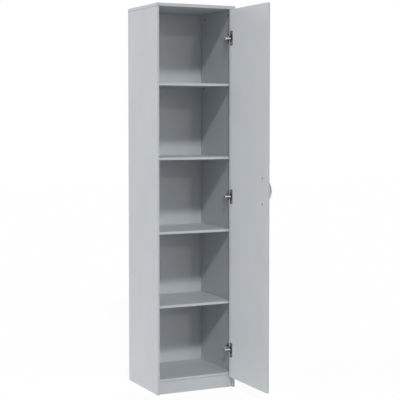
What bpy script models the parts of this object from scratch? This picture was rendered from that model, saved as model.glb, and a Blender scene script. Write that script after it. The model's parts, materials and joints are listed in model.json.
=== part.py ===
"""Tall narrow kitchen cabinet with an inset door that stands open at ninety degrees.

Metres, +Z up. The origin is the middle of the plinth board's floor edge, X runs to the
right across the front and Y runs from the front to the back.
"""

import math

import bmesh
import bpy
from mathutils import Matrix, Vector
from mathutils.geometry import tessellate_polygon

# Clearances
SEAT = 0.0003
PIN_PLAY = 0.00012

# Cutters
BORE_LEAD = 0.0009
THROUGH_REACH = 0.010
SHARP_ANGLE = math.radians(35)

# Sides of round pieces
SMALL_SIDES = 8
PIN_SIDES = 12
CAM_SIDES = 16
CUP_SIDES = 26

# Carcass boards
CABINET_WIDTH = 0.444
CABINET_DEPTH = 0.390
CABINET_HEIGHT = 2.000
TOP_THICKNESS = 0.016
SIDE_THICKNESS = 0.012
BOTTOM_THICKNESS = 0.013
PLINTH_HEIGHT = 0.065
PLINTH_THICKNESS = 0.012
BACK_THICKNESS = 0.003
BACK_MARGIN = 0.002
EDGE_ROUNDING = 0.0007
FRONT_SETBACK_PLAY = 0.001

# Shelves on pins
SHELF_COUNT = 4
SHELF_PITCH = 0.380
SHELF_THICKNESS = 0.013
SHELF_PLAY = 0.001
PIN_RADIUS = 0.0022
PIN_COLLAR_RADIUS = 0.0036
PIN_CHAMFER = 0.0012
PIN_DEPTH = 0.0075
PIN_REACH = 0.0085
PIN_INSET = 0.050

# Cam fittings and glued dowels
CAM_RADIUS = 0.0072
CAM_LENGTH = 0.0090
CAM_SLOT = 0.0012
CAM_SLOT_HALF_LENGTH = 0.0040
TOP_CAM_DROP = 0.029
BOTTOM_CAM_INSET = 0.024
CAM_FRONT_INSET = 0.061
CAM_REAR_INSET = 0.050
BOLT_SCREW_RADIUS = 0.0024
BOLT_RADIUS = 0.0030
BOLT_SCREW_DEPTH = 0.0088
DOWEL_RADIUS = 0.0030
DOWEL_DEPTH = 0.0088
DOWEL_ROOT = 0.0020
DOWEL_CHAMFER = 0.0010
DOWEL_FRONT_INSET = 0.095
DOWEL_REAR_INSET = 0.085

# Door
DOOR_THICKNESS = 0.012
DOOR_SIDE_GAP = 0.004
DOOR_TOP_GAP = 0.0022
DOOR_PLINTH_LAP = 0.0087

# Handle
HANDLE_HEIGHT = 1.058
HANDLE_EDGE_INSET = 0.051
HANDLE_SPACING = 0.128
HANDLE_PROJECTION = 0.0385
HANDLE_THICKNESS = 0.006
HANDLE_WIDTH = 0.011
HANDLE_FOOT_WIDTH = 0.014
HANDLE_CHAMFER = 0.0015
HANDLE_STEPS = 20
HANDLE_BOSS_RADIUS = 0.0042
HANDLE_BOSS_LENGTH = 0.0056
HANDLE_BOSS_INSET = 0.0001
HANDLE_SCREW_ENGAGEMENT = 0.0046
HANDLE_SCREW_HEAD_RADIUS = 0.00375
HANDLE_SCREW_HEAD_LENGTH = 0.0016

# Screws
SCREW_RADIUS = 0.0018
SCREW_TIP_LENGTH = 0.0027
HEAD_CROWN_SHARE = 0.7
HEAD_SHOULDER_SHARE = 0.85

# Hinges. Places in the hinge's own plane are (inward from the side panel's inner face,
# back from the door's inner face when the door is closed).
TOP_HINGE_DROP = 0.1498
MIDDLE_HINGE_SHELF = 2
MIDDLE_HINGE_RISE = 0.1720
BOTTOM_HINGE_RISE = 0.1457
SWING_POLE = (0.008845, -0.011005)
ARM_PIVOT_OUTER = (0.0235, -0.0026)
ARM_PIVOT_INNER = (0.0360, -0.0026)
CUP_PIVOT_OUTER = (0.0106, -0.00453)
CUP_PIVOT_INNER = (0.01316, -0.0027)
ARM_PIN_RADIUS = 0.0012
CUP_PIN_RADIUS = 0.0008
OPEN_EYE_PLAY = 0.0012

# Hinge cup in the door
CUP_POCKET_RADIUS = 0.0175
CUP_EDGE_DISTANCE = 0.003
CUP_DEPTH = 0.0098
CUP_SHEET = 0.0007
CUP_CHAMFER = 0.00035
CUP_RIM_WIDTH = 0.0011
FLANGE_SHEET = 0.0010
FLANGE_STEP = 0.00005
FLANGE_HALF_LENGTH = 0.0375
FLANGE_INNER_EDGE = 0.010
FLANGE_ROUNDING = 0.004
FLANGE_BITE_RADIUS = 0.0022
FLANGE_BITE_HEIGHT = 0.028
CUP_SCREW_OFFSET = 0.0055
CUP_SCREW_SPACING = 0.052
CUP_SCREW_LENGTH = 0.0088
HINGE_SCREW_HEAD_RADIUS = 0.0034
HINGE_SCREW_HEAD_LENGTH = 0.0014
CUP_NOTCH_HALF_WIDTH = 0.0052
CUP_NOTCH_DEPTH = 0.0034
LUG_INNER = 0.0021
LUG_OUTER = 0.0031
LUG_RADIUS = 0.0015
LUG_SHOULDER_ANGLE = math.radians(126)

# Hinge links
INNER_LINK_HALF_WIDTH = 0.0018
INNER_LINK_HALF_DEPTH = 0.0011
INNER_LINK_KNEE = (-0.0091, -0.0091)
OPEN_EYE_WALL = 0.0009
KNUCKLE_RADIUS = 0.0021
OUTER_LINK_INNER = 0.0034
OUTER_LINK_OUTER = 0.0046
OUTER_LINK_HALF_DEPTH = 0.0010
OUTER_LINK_EYE_RADIUS = 0.0015
OUTER_LINK_RING_RADIUS = 0.0024
OUTER_LINK_KNEES = ((-0.0007, -0.0036), (-0.0019, -0.0089), (-0.0026, -0.0095))
BRIDGE_REACH = 0.0024
BRIDGE_RADIUS = 0.0007
BRIDGE_EAR_RADIUS = 0.0014
BRIDGE_EAR_INSET = 0.000075
BRIDGE_ANGLE = math.radians(100)

# Hinge arm and mounting plate
ARM_INNER_HALF_WIDTH = 0.0050
ARM_SHEET = 0.0010
ARM_REAR_END = 0.072
ARM_REAR_HEIGHT = 0.0144
ARM_REAR_EDGE = 0.0060
ARM_NOSE_MARGIN = 0.0024
ARM_NOSE_CORNER = 0.0008
ARM_CRANK_START = 0.004
ARM_CRANK_END = 0.022
ARM_CRANK_STEPS = 8
ARM_SCREW_PLACES = (0.031, 0.062)
PLATE_SHEET = 0.0020
PLATE_CENTRE = 0.0395
PLATE_HALF_WIDTH = 0.0090
PLATE_WING_REACH = 0.025
PLATE_WING_HALF_WIDTH = 0.0075
PLATE_SCREW_SPACING = 0.032
PLATE_RAIL_START = 0.0265
PLATE_RAIL_END = 0.068
PLATE_SCREW_LENGTH = 0.0095
ADJUSTER_DEPTH = 0.006

# Places that follow from the sizes above
FRONT_SETBACK = DOOR_THICKNESS + FRONT_SETBACK_PLAY
FRONT_Y = -(FRONT_SETBACK + PLINTH_THICKNESS / 2)
CARCASS_DEPTH = CABINET_DEPTH - BACK_THICKNESS - SEAT
REAR_Y = FRONT_Y + CARCASS_DEPTH
BACK_Y = REAR_Y + SEAT
INNER_X = CABINET_WIDTH / 2 - SIDE_THICKNESS
SIDE_TOP = CABINET_HEIGHT - TOP_THICKNESS - SEAT
TOP_UNDERSIDE = CABINET_HEIGHT - TOP_THICKNESS
BOTTOM_UNDERSIDE = PLINTH_HEIGHT
BOTTOM_TOP = PLINTH_HEIGHT + BOTTOM_THICKNESS
BOTTOM_MID = PLINTH_HEIGHT + BOTTOM_THICKNESS / 2
BOLT_BORE_RADIUS = BOLT_RADIUS + SEAT
BOLT_SCREW_BORE_RADIUS = BOLT_SCREW_RADIUS + SEAT
DOWEL_BORE_RADIUS = DOWEL_RADIUS + SEAT
CAM_DEPTH = CAM_LENGTH + SEAT
CAM_PLACES = (FRONT_Y + CAM_FRONT_INSET, REAR_Y - CAM_REAR_INSET)
DOWEL_PLACES = (FRONT_Y + DOWEL_FRONT_INSET, REAR_Y - DOWEL_REAR_INSET)
SIDE_MID = CABINET_WIDTH / 2 - SIDE_THICKNESS / 2
DOOR_WIDTH = 2 * INNER_X - 2 * DOOR_SIDE_GAP
DOOR_BOTTOM = PLINTH_HEIGHT - DOOR_PLINTH_LAP
DOOR_TOP = TOP_UNDERSIDE - DOOR_TOP_GAP
CUP_CENTRE = DOOR_SIDE_GAP + CUP_EDGE_DISTANCE + CUP_POCKET_RADIUS
CUP_RADIUS = CUP_POCKET_RADIUS - SEAT
HANDLE_CENTRE = DOOR_SIDE_GAP + DOOR_WIDTH - HANDLE_EDGE_INSET
ARM_OUTER_HALF_WIDTH = ARM_INNER_HALF_WIDTH + ARM_SHEET
ARM_NOSE_HEIGHT = ARM_PIVOT_INNER[0] + KNUCKLE_RADIUS + SEAT + ARM_SHEET
HINGE_BORE_RADIUS = SCREW_RADIUS + SEAT
HINGE_HEIGHTS = {"top": DOOR_TOP - TOP_HINGE_DROP,
                 "middle": BOTTOM_TOP + MIDDLE_HINGE_SHELF * SHELF_PITCH + MIDDLE_HINGE_RISE,
                 "bottom": DOOR_BOTTOM + BOTTOM_HINGE_RISE}


def clear_scene():
    for item in list(bpy.data.objects):
        bpy.data.objects.remove(item, do_unlink=True)


def material(name, colour, roughness, metallic=0.0):
    made = bpy.data.materials.new(name)
    made.use_nodes = True
    shader = made.node_tree.nodes["Principled BSDF"]
    shader.inputs["Base Color"].default_value = (*colour, 1.0)
    shader.inputs["Roughness"].default_value = roughness
    shader.inputs["Metallic"].default_value = metallic
    return made


def shelf_top(number):
    """Height of a shelf's upper face, counted from 1 at the bottom."""
    return BOTTOM_TOP + number * SHELF_PITCH


def opened(place):
    """Where a point of the closed door lies once the door stands open at ninety degrees."""
    u, w = place[0] - SWING_POLE[0], place[1] - SWING_POLE[1]
    return (SWING_POLE[0] + w, SWING_POLE[1] - u)


def hinge_xy(place):
    """World X and Y of a point in the hinge's plane."""
    return (INNER_X - place[0], FRONT_Y + DOOR_THICKNESS + place[1])


def finish_mesh(form, name):
    """Turn a bmesh into a mesh with its faces pointing out and round sides smooth."""
    bmesh.ops.recalc_face_normals(form, faces=form.faces)
    mesh = bpy.data.meshes.new(name)
    form.to_mesh(mesh)
    form.free()
    mesh.shade_smooth()
    mesh.set_sharp_from_angle(angle=SHARP_ANGLE)
    return mesh


def place(name, mesh, finish, location=(0.0, 0.0, 0.0), parent=None):
    """Add a named object, at a place given in its parent's frame."""
    item = bpy.data.objects.new(name, mesh)
    if mesh is not None and not mesh.materials:
        mesh.materials.append(finish)
    bpy.context.scene.collection.objects.link(item)
    item.location = location
    item.parent = parent
    return item


def combined(base, tool, operation):
    """One mesh from two by an exact Boolean; both meshes are used up."""
    kept = place("base", base, None)
    cutter = place("tool", tool, None)
    cutter.hide_render = True
    cutter.display_type = "WIRE"
    step = kept.modifiers.new("cut", "BOOLEAN")
    step.operation = operation
    step.solver = "EXACT"
    step.object = cutter
    graph = bpy.context.evaluated_depsgraph_get()
    result = bpy.data.meshes.new_from_object(kept.evaluated_get(graph))
    result.materials.clear()
    for item in (kept, cutter):
        bpy.data.objects.remove(item, do_unlink=True)
    for mesh in (base, tool):
        bpy.data.meshes.remove(mesh)
    result.shade_smooth()
    result.set_sharp_from_angle(angle=SHARP_ANGLE)
    return result


def cut(base, tool):
    return combined(base, tool, "DIFFERENCE")


def joined(base, tool):
    return combined(base, tool, "UNION")


def add_rod(form, start, end, radius, sides=SMALL_SIDES):
    """A closed cylinder between two points, with its first corner on the same side each time."""
    start, end = Vector(start), Vector(end)
    along = end - start
    turn = along.to_track_quat("Z", "Y").to_matrix().to_4x4()
    middle = Matrix.Translation((start + end) / 2)
    bmesh.ops.create_cone(form, cap_ends=True, cap_tris=False, segments=sides, radius1=radius,
                          radius2=radius, depth=along.length, matrix=middle @ turn)


def rods(places, name="rods", sides=SMALL_SIDES):
    """Separate cylinders in one mesh; each place is (start, end, radius)."""
    form = bmesh.new()
    for start, end, radius in places:
        add_rod(form, start, end, radius, sides)
    return finish_mesh(form, name)


def turned_form(profile, sides):
    """A solid of revolution about Z; the profile's points are (radius, height)."""
    form = bmesh.new()
    verts = [form.verts.new((radius, 0.0, height)) for radius, height in profile]
    edges = [form.edges.new(pair) for pair in zip(verts, verts[1:])]
    bmesh.ops.spin(form, geom=verts + edges, cent=(0, 0, 0), axis=(0, 0, 1),
                   angle=2 * math.pi, steps=sides, use_merge=True)
    bmesh.ops.remove_doubles(form, verts=form.verts, dist=1e-6)
    bmesh.ops.dissolve_degenerate(form, edges=form.edges, dist=1e-7)
    return form


def copies(profile, placements, name, sides=SMALL_SIDES):
    """Turned pieces in one mesh; each placement is (foot, direction of the profile's +Z)."""
    form = bmesh.new()
    for foot, direction in placements:
        piece = turned_form(profile, sides)
        turn = Vector(direction).to_track_quat("Z", "Y").to_matrix().to_4x4()
        piece.transform(Matrix.Translation(foot) @ turn)
        single = bpy.data.meshes.new("piece")
        piece.to_mesh(single)
        piece.free()
        form.from_mesh(single)
        bpy.data.meshes.remove(single)
    return finish_mesh(form, name)


def circle(centre, radius, sides, start=0.0, end=2 * math.pi, closed=True):
    """Points of a circle or of an arc."""
    count = sides if closed else sides + 1
    step = (end - start) / sides
    return [(centre[0] + radius * math.cos(start + i * step),
             centre[1] + radius * math.sin(start + i * step)) for i in range(count)]


def plate_form(loops, low, high):
    """A flat plate between two heights: an outline followed by its holes."""
    form = bmesh.new()
    lower, upper = [], []
    for loop in loops:
        below = [form.verts.new((x, y, low)) for x, y in loop]
        above = [form.verts.new((x, y, high)) for x, y in loop]
        for i in range(len(loop)):
            j = (i + 1) % len(loop)
            form.faces.new((below[i], below[j], above[j], above[i]))
        lower += below
        upper += above
    if len(loops) == 1:
        form.faces.new(lower)
        form.faces.new(upper)
        return form
    flat = [[Vector((x, y, 0.0)) for x, y in loop] for loop in loops]
    for corners in tessellate_polygon(flat):
        form.faces.new([lower[i] for i in corners])
        form.faces.new([upper[i] for i in corners])
    return form


def plate(loops, low, high, name="plate"):
    return finish_mesh(plate_form(loops, low, high), name)


def mirrored(points):
    """Outline points given as (inward, back) turned into the hinge's X and Y."""
    return [(-u, w) for u, w in points]


def board(name, low, high, finish, bores=(), pockets=(), dowels=()):
    """A board with its edges slightly rounded, placed by its low corner; bores and pockets
    are lists of (start, end, radius) in world places and may run into each other, and
    dowels, glued into the board, are lists of (place on its edge, direction)."""
    low, high = Vector(low), Vector(high)
    form = bmesh.new()
    bmesh.ops.create_cube(form, size=1.0)
    size = high - low
    form.transform(Matrix.Translation(size / 2) @ Matrix.Diagonal((*size, 1.0)))
    bmesh.ops.bevel(form, geom=form.edges[:], offset=EDGE_ROUNDING, segments=1, affect="EDGES")
    mesh = finish_mesh(form, name)
    for places, sides in ((bores, SMALL_SIDES), (pockets, CAM_SIDES)):
        if places:
            moved = [(Vector(a) - low, Vector(b) - low, radius) for a, b, radius in places]
            mesh = cut(mesh, rods(moved, sides=sides))
    if dowels:
        ends = [(Vector(point) - low, direction) for point, direction in dowels]
        mesh = joined(mesh, copies(dowel_profile(), ends, "dowels"))
    mesh.name = name
    return place(name, mesh, finish, low)


def dowel_profile():
    """The part of a glued dowel that stands out of its board, with a root inside it."""
    reach = DOWEL_DEPTH + SEAT
    return [(0, -DOWEL_ROOT), (DOWEL_RADIUS, -DOWEL_ROOT),
            (DOWEL_RADIUS, reach - DOWEL_CHAMFER), (DOWEL_RADIUS - DOWEL_CHAMFER, reach),
            (0, reach)]


def side_signs():
    """The two sides of the cabinet: -1 on the left and +1 on the right."""
    return (-1, 1)


def bore_at(point, direction, depth, radius):
    """A bore that starts a hair outside the face it enters."""
    point, direction = Vector(point), Vector(direction)
    return (point - direction * BORE_LEAD, point + direction * depth, radius)


def pin_places(number):
    """Where the four pins of a shelf leave the side panels."""
    height = shelf_top(number) - SHELF_THICKNESS - SEAT - PIN_COLLAR_RADIUS
    shelf_rear = BACK_Y - SHELF_PLAY
    return [(sign, (sign * INNER_X, y, height)) for sign in side_signs()
            for y in (FRONT_Y + FRONT_SETBACK + PIN_INSET, shelf_rear - PIN_INSET)]


def plate_screw_places(height):
    """Where a mounting plate's two screws enter the side panel."""
    y = FRONT_Y + DOOR_THICKNESS + PLATE_CENTRE
    return [(INNER_X, y, height + sign * PLATE_SCREW_SPACING / 2) for sign in side_signs()]


def build_side(sign, label, finish):
    """A side panel from the floor to the underside of the top panel."""
    inner = sign * INNER_X
    outer = sign * CABINET_WIDTH / 2
    out = (sign, 0, 0)
    bores = []
    for number in range(1, SHELF_COUNT + 1):
        for side, point in pin_places(number):
            if side == sign:
                bores.append(bore_at(point, out, PIN_DEPTH + SEAT, PIN_RADIUS + SEAT))
    if sign > 0:
        for height in HINGE_HEIGHTS.values():
            for point in plate_screw_places(height):
                bores.append(bore_at(point, out, PLATE_SCREW_LENGTH + SEAT, HINGE_BORE_RADIUS))
    for y in CAM_PLACES:
        top = (sign * SIDE_MID, y, SIDE_TOP)
        bores.append(bore_at(top, (0, 0, -1), TOP_CAM_DROP, BOLT_BORE_RADIUS))
        bores.append(bore_at((inner, y, BOTTOM_MID), out, BOLT_SCREW_DEPTH + SEAT,
                             BOLT_SCREW_BORE_RADIUS))
    for y in DOWEL_PLACES:
        bores.append(bore_at((inner, y, BOTTOM_MID), out, DOWEL_DEPTH + SEAT,
                             DOWEL_BORE_RADIUS))
    bores.append(bore_at((inner, 0.0, PLINTH_HEIGHT / 2), out, DOWEL_DEPTH + SEAT,
                         DOWEL_BORE_RADIUS))
    dowels = [((sign * SIDE_MID, y, SIDE_TOP), (0, 0, 1)) for y in DOWEL_PLACES]
    pockets = [bore_at((inner, y, SIDE_TOP - TOP_CAM_DROP), out, CAM_DEPTH, CAM_RADIUS + SEAT)
               for y in CAM_PLACES]
    low = (min(inner, outer), FRONT_Y, 0.0)
    high = (max(inner, outer), REAR_Y, SIDE_TOP)
    return board(label, low, high, finish, bores, pockets, dowels)


def build_top(finish):
    """The top panel lies over the side panels, flush with their front edges."""
    half = CABINET_WIDTH / 2
    bores = []
    for sign in side_signs():
        for y in CAM_PLACES:
            bores.append(bore_at((sign * SIDE_MID, y, TOP_UNDERSIDE), (0, 0, 1),
                                 BOLT_SCREW_DEPTH + SEAT, BOLT_SCREW_BORE_RADIUS))
        for y in DOWEL_PLACES:
            bores.append(bore_at((sign * SIDE_MID, y, TOP_UNDERSIDE), (0, 0, 1),
                                 DOWEL_DEPTH + SEAT, DOWEL_BORE_RADIUS))
    low = (-half, FRONT_Y, TOP_UNDERSIDE)
    return board("top_panel", low, (half, REAR_Y, CABINET_HEIGHT), finish, bores)


def build_bottom(finish):
    """The bottom panel hangs between the side panels on cam fittings and dowels."""
    half = INNER_X - SEAT
    bores = []
    for sign in side_signs():
        for y in CAM_PLACES:
            bores.append(bore_at((sign * half, y, BOTTOM_MID), (-sign, 0, 0), BOTTOM_CAM_INSET,
                                 BOLT_BORE_RADIUS))
    dowels = [((sign * half, y, BOTTOM_MID), (sign, 0, 0))
              for sign in side_signs() for y in DOWEL_PLACES]
    pockets = [bore_at((sign * (half - BOTTOM_CAM_INSET), y, BOTTOM_UNDERSIDE), (0, 0, 1),
                       CAM_DEPTH, CAM_RADIUS + SEAT)
               for sign in side_signs() for y in CAM_PLACES]
    low = (-half, FRONT_Y + FRONT_SETBACK, BOTTOM_UNDERSIDE)
    return board("bottom_panel", low, (half, REAR_Y, BOTTOM_TOP), finish, bores, pockets,
                 dowels)


def build_plinth(finish):
    """The plinth board stands on the floor under the bottom panel's front edge."""
    half = INNER_X - SEAT
    deep = PLINTH_THICKNESS / 2
    dowels = [((sign * half, 0.0, PLINTH_HEIGHT / 2), (sign, 0, 0)) for sign in side_signs()]
    return board("plinth_board", (-half, -deep, 0.0), (half, deep, PLINTH_HEIGHT - SEAT),
                 finish, dowels=dowels)


def build_back(finish):
    """The thin back panel is nailed over the rear edges."""
    half = CABINET_WIDTH / 2 - BACK_MARGIN
    high = (half, BACK_Y + BACK_THICKNESS, CABINET_HEIGHT - BACK_MARGIN)
    return board("back_panel", (-half, BACK_Y, BOTTOM_UNDERSIDE), high, finish)


def build_shelves(wood, metal):
    """Loose shelves, each on four pins in the side panels."""
    half = INNER_X - SHELF_PLAY
    profile = [(0, -PIN_DEPTH), (PIN_RADIUS, -PIN_DEPTH), (PIN_RADIUS, SEAT),
               (PIN_COLLAR_RADIUS, SEAT), (PIN_COLLAR_RADIUS, PIN_REACH - PIN_CHAMFER),
               (PIN_RADIUS, PIN_REACH), (0, PIN_REACH)]
    pin = finish_mesh(turned_form(profile, SMALL_SIDES), "shelf_pin")
    for number in range(1, SHELF_COUNT + 1):
        top = shelf_top(number)
        low = (-half, FRONT_Y + FRONT_SETBACK, top - SHELF_THICKNESS)
        board(f"shelf_{number}", low, (half, BACK_Y - SHELF_PLAY, top), wood)
        for sign, point in pin_places(number):
            item = place(pin_name(number, sign, point[1]), pin, metal, point)
            item.rotation_euler = (0.0, -sign * math.pi / 2, 0.0)


def pin_name(number, sign, y):
    row = "front" if y < (FRONT_Y + REAR_Y) / 2 else "rear"
    return f"shelf_{number}_pin_{row}_{'left' if sign < 0 else 'right'}"


def fitting_mesh(board_thickness, drop, name):
    """Cam lock drawn tight on its bolt, in one solid.

    Its origin is the middle of the cam's face, +Z runs into the board and +X along the
    bolt, which crosses the joint and is screwed into the other board."""
    cam = rods([((0, 0, 0), (0, 0, CAM_LENGTH), CAM_RADIUS)], name, CAM_SIDES)
    length = 2 * CAM_SLOT_HALF_LENGTH
    for size in ((length, CAM_SLOT, CAM_SLOT), (CAM_SLOT, length, CAM_SLOT)):
        slot = bmesh.new()
        bmesh.ops.create_cube(slot, size=2.0)
        slot.transform(Matrix.Diagonal((size[0] / 2, size[1] / 2, size[2], 1.0)))
        cam = cut(cam, finish_mesh(slot, "slot"))
    joint = drop + SEAT
    profile = [(0, 0), (BOLT_RADIUS, 0), (BOLT_RADIUS, joint - SEAT),
               (BOLT_SCREW_RADIUS, joint), (BOLT_SCREW_RADIUS, joint + BOLT_SCREW_DEPTH),
               (0, joint + BOLT_SCREW_DEPTH)]
    bolt = copies(profile, [((0, 0, board_thickness / 2), (1, 0, 0))], "bolt")
    mesh = joined(cam, bolt)
    mesh.name = name
    return mesh


def build_fittings(zinc):
    """Cam fittings between the top and bottom panels and the side panels."""
    half = INNER_X - SEAT
    top = fitting_mesh(SIDE_THICKNESS, TOP_CAM_DROP, "top_cam_fitting")
    bottom = fitting_mesh(BOTTOM_THICKNESS, BOTTOM_CAM_INSET, "bottom_cam_fitting")
    for sign in side_signs():
        side = "left" if sign < 0 else "right"
        out, up = Vector((sign, 0, 0)), Vector((0, 0, 1))
        for row, y in zip(("front", "rear"), CAM_PLACES):
            face = (sign * INNER_X, y, SIDE_TOP - TOP_CAM_DROP)
            under = (sign * (half - BOTTOM_CAM_INSET), y, BOTTOM_UNDERSIDE)
            for label, mesh, point, inward, bolt in (("top", top, face, out, up),
                                                     ("bottom", bottom, under, up, out)):
                item = place(f"{label}_cam_fitting_{row}_{side}", mesh, zinc, point)
                turn = Matrix((bolt, inward.cross(bolt), inward)).transposed()
                item.rotation_euler = turn.to_euler()


def link_outline(points, half_depth, start_radius, end_radius):
    """Outline of a bent bar with a round eye at each end."""
    path = [Vector(point) for point in points]
    legs = [(b - a).normalized() for a, b in zip(path, path[1:])]
    normals = [Vector((-leg.y, leg.x)) for leg in legs]

    def edge(side):
        run = []
        for i in range(1, len(path) - 1):
            bend = (normals[i - 1] + normals[i]).normalized()
            reach = half_depth / bend.dot(normals[i])
            run.append(path[i] + bend * reach * side)
        return run

    def eye(centre, leg, radius):
        spread = math.asin(half_depth / radius)
        facing = math.atan2(leg.y, leg.x)
        return [Vector(point) for point in
                circle(centre, radius, 8, facing + spread, facing + 2 * math.pi - spread, False)]

    first = eye(path[0], legs[0], start_radius)
    last = eye(path[-1], -legs[-1], end_radius)
    outline = first + edge(-1) + last + list(reversed(edge(1)))
    return [(point.x, point.y) for point in outline]


def through_bore(centre, pin_radius):
    """A pin's running bore, right through a hinge piece."""
    return ((*centre, -THROUGH_REACH), (*centre, THROUGH_REACH), pin_radius + PIN_PLAY)


def outer_link_mesh():
    """Forked link: two cheeks joined by a bridge behind the arm's pin, about that pin."""
    pivot = Vector(ARM_PIVOT_OUTER)
    tip = Vector(opened(CUP_PIVOT_OUTER)) - pivot
    path = mirrored([(0, 0), *OUTER_LINK_KNEES, (tip.x, tip.y)])
    outline = link_outline(path, OUTER_LINK_HALF_DEPTH, OUTER_LINK_RING_RADIUS,
                           OUTER_LINK_EYE_RADIUS)
    bridge = (-BRIDGE_REACH * math.cos(BRIDGE_ANGLE), BRIDGE_REACH * math.sin(BRIDGE_ANGLE))
    cheeks = bmesh.new()
    for low, high in ((OUTER_LINK_INNER, OUTER_LINK_OUTER),
                      (-OUTER_LINK_OUTER, -OUTER_LINK_INNER)):
        single = plate([outline], low, high)
        cheeks.from_mesh(single)
        bpy.data.meshes.remove(single)
    mesh = finish_mesh(cheeks, "outer_link")
    ears = bmesh.new()
    for low, high in ((OUTER_LINK_INNER, OUTER_LINK_OUTER),
                      (-OUTER_LINK_OUTER, -OUTER_LINK_INNER)):
        add_rod(ears, (*bridge, low + BRIDGE_EAR_INSET), (*bridge, high - BRIDGE_EAR_INSET),
                BRIDGE_EAR_RADIUS)
    mesh = joined(mesh, finish_mesh(ears, "ears"))
    middle = (OUTER_LINK_INNER + OUTER_LINK_OUTER) / 2
    mesh = joined(mesh, rods([((*bridge, -middle), (*bridge, middle), BRIDGE_RADIUS)]))
    bores = [through_bore((0, 0), ARM_PIN_RADIUS), through_bore(path[-1], CUP_PIN_RADIUS)]
    return cut(mesh, rods(bores, sides=PIN_SIDES))


def inner_link_mesh():
    """Bent link about the arm's inner pin; its far eye has play, the hinge's open pivot."""
    tip = Vector(opened(CUP_PIVOT_INNER)) - Vector(ARM_PIVOT_INNER)
    path = mirrored([(0, 0), INNER_LINK_KNEE, (tip.x, tip.y)])
    eye = CUP_PIN_RADIUS + OPEN_EYE_PLAY
    outline = link_outline(path, INNER_LINK_HALF_DEPTH, KNUCKLE_RADIUS - PIN_PLAY,
                           eye + OPEN_EYE_WALL)
    bar = plate([outline, circle(path[-1], eye, PIN_SIDES)], -INNER_LINK_HALF_WIDTH,
                INNER_LINK_HALF_WIDTH)
    knuckle = rods([((0, 0, -OUTER_LINK_OUTER), (0, 0, OUTER_LINK_OUTER), KNUCKLE_RADIUS)],
                   sides=PIN_SIDES)
    mesh = joined(bar, knuckle)
    return cut(mesh, rods([through_bore((0, 0), ARM_PIN_RADIUS)], sides=PIN_SIDES))


def crank(back, high, low):
    """Height of the arm's cranked edge at a distance back from the door."""
    span = (back - ARM_CRANK_START) / (ARM_CRANK_END - ARM_CRANK_START)
    share = min(max(span, 0.0), 1.0)
    return low + (high - low) * (0.5 + 0.5 * math.cos(math.pi * share))


def arm_mesh():
    """Cranked channel with its adjusting screws: a web towards the cabinet's middle and a
    cheek on each side."""
    front = ARM_PIVOT_OUTER[1] - ARM_NOSE_MARGIN
    left = ARM_PIVOT_OUTER[0] - ARM_NOSE_MARGIN
    corner = ARM_NOSE_CORNER
    step = (ARM_CRANK_END - ARM_CRANK_START) / ARM_CRANK_STEPS
    run = [ARM_CRANK_START + step * i for i in range(ARM_CRANK_STEPS + 1)]
    upper = [(crank(back, ARM_NOSE_HEIGHT, ARM_REAR_HEIGHT), back) for back in run]
    shift = ARM_CRANK_START + ARM_NOSE_MARGIN
    lower = [(crank(back, left, ARM_REAR_EDGE), back - shift) for back in run]
    outline = [(left + corner, front), (ARM_NOSE_HEIGHT - corner, front),
               (ARM_NOSE_HEIGHT, front + corner), *upper, (ARM_REAR_HEIGHT, ARM_REAR_END),
               (ARM_REAR_EDGE, ARM_REAR_END), *reversed(lower), (left, front + corner)]
    mesh = plate([mirrored(outline)], -ARM_OUTER_HALF_WIDTH, ARM_OUTER_HALF_WIDTH)
    inside = []
    for i, (height, back) in enumerate(upper):
        before, after = upper[max(i - 1, 0)], upper[min(i + 1, len(upper) - 1)]
        slope = (after[0] - before[0]) / (after[1] - before[1])
        inside.append((height - ARM_SHEET * math.sqrt(1 + slope * slope), back))
    beyond = ARM_REAR_END + ARM_SHEET
    channel = [(ARM_NOSE_HEIGHT - ARM_SHEET, front - ARM_SHEET), *inside,
               (ARM_REAR_HEIGHT - ARM_SHEET, beyond), (-ARM_SHEET, beyond),
               (-ARM_SHEET, front - ARM_SHEET)]
    mesh = cut(mesh, plate([mirrored(channel)], -ARM_INNER_HALF_WIDTH, ARM_INNER_HALF_WIDTH))
    bores = [through_bore(point, ARM_PIN_RADIUS)
             for point in mirrored((ARM_PIVOT_OUTER, ARM_PIVOT_INNER))]
    mesh = cut(mesh, rods(bores, sides=PIN_SIDES))
    adjusters = [((-ARM_REAR_HEIGHT, back, 0), (-1, 0, 0)) for back in ARM_SCREW_PLACES]
    return with_screws(mesh, ADJUSTER_DEPTH + ARM_SHEET, ARM_SHEET, adjusters)


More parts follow.
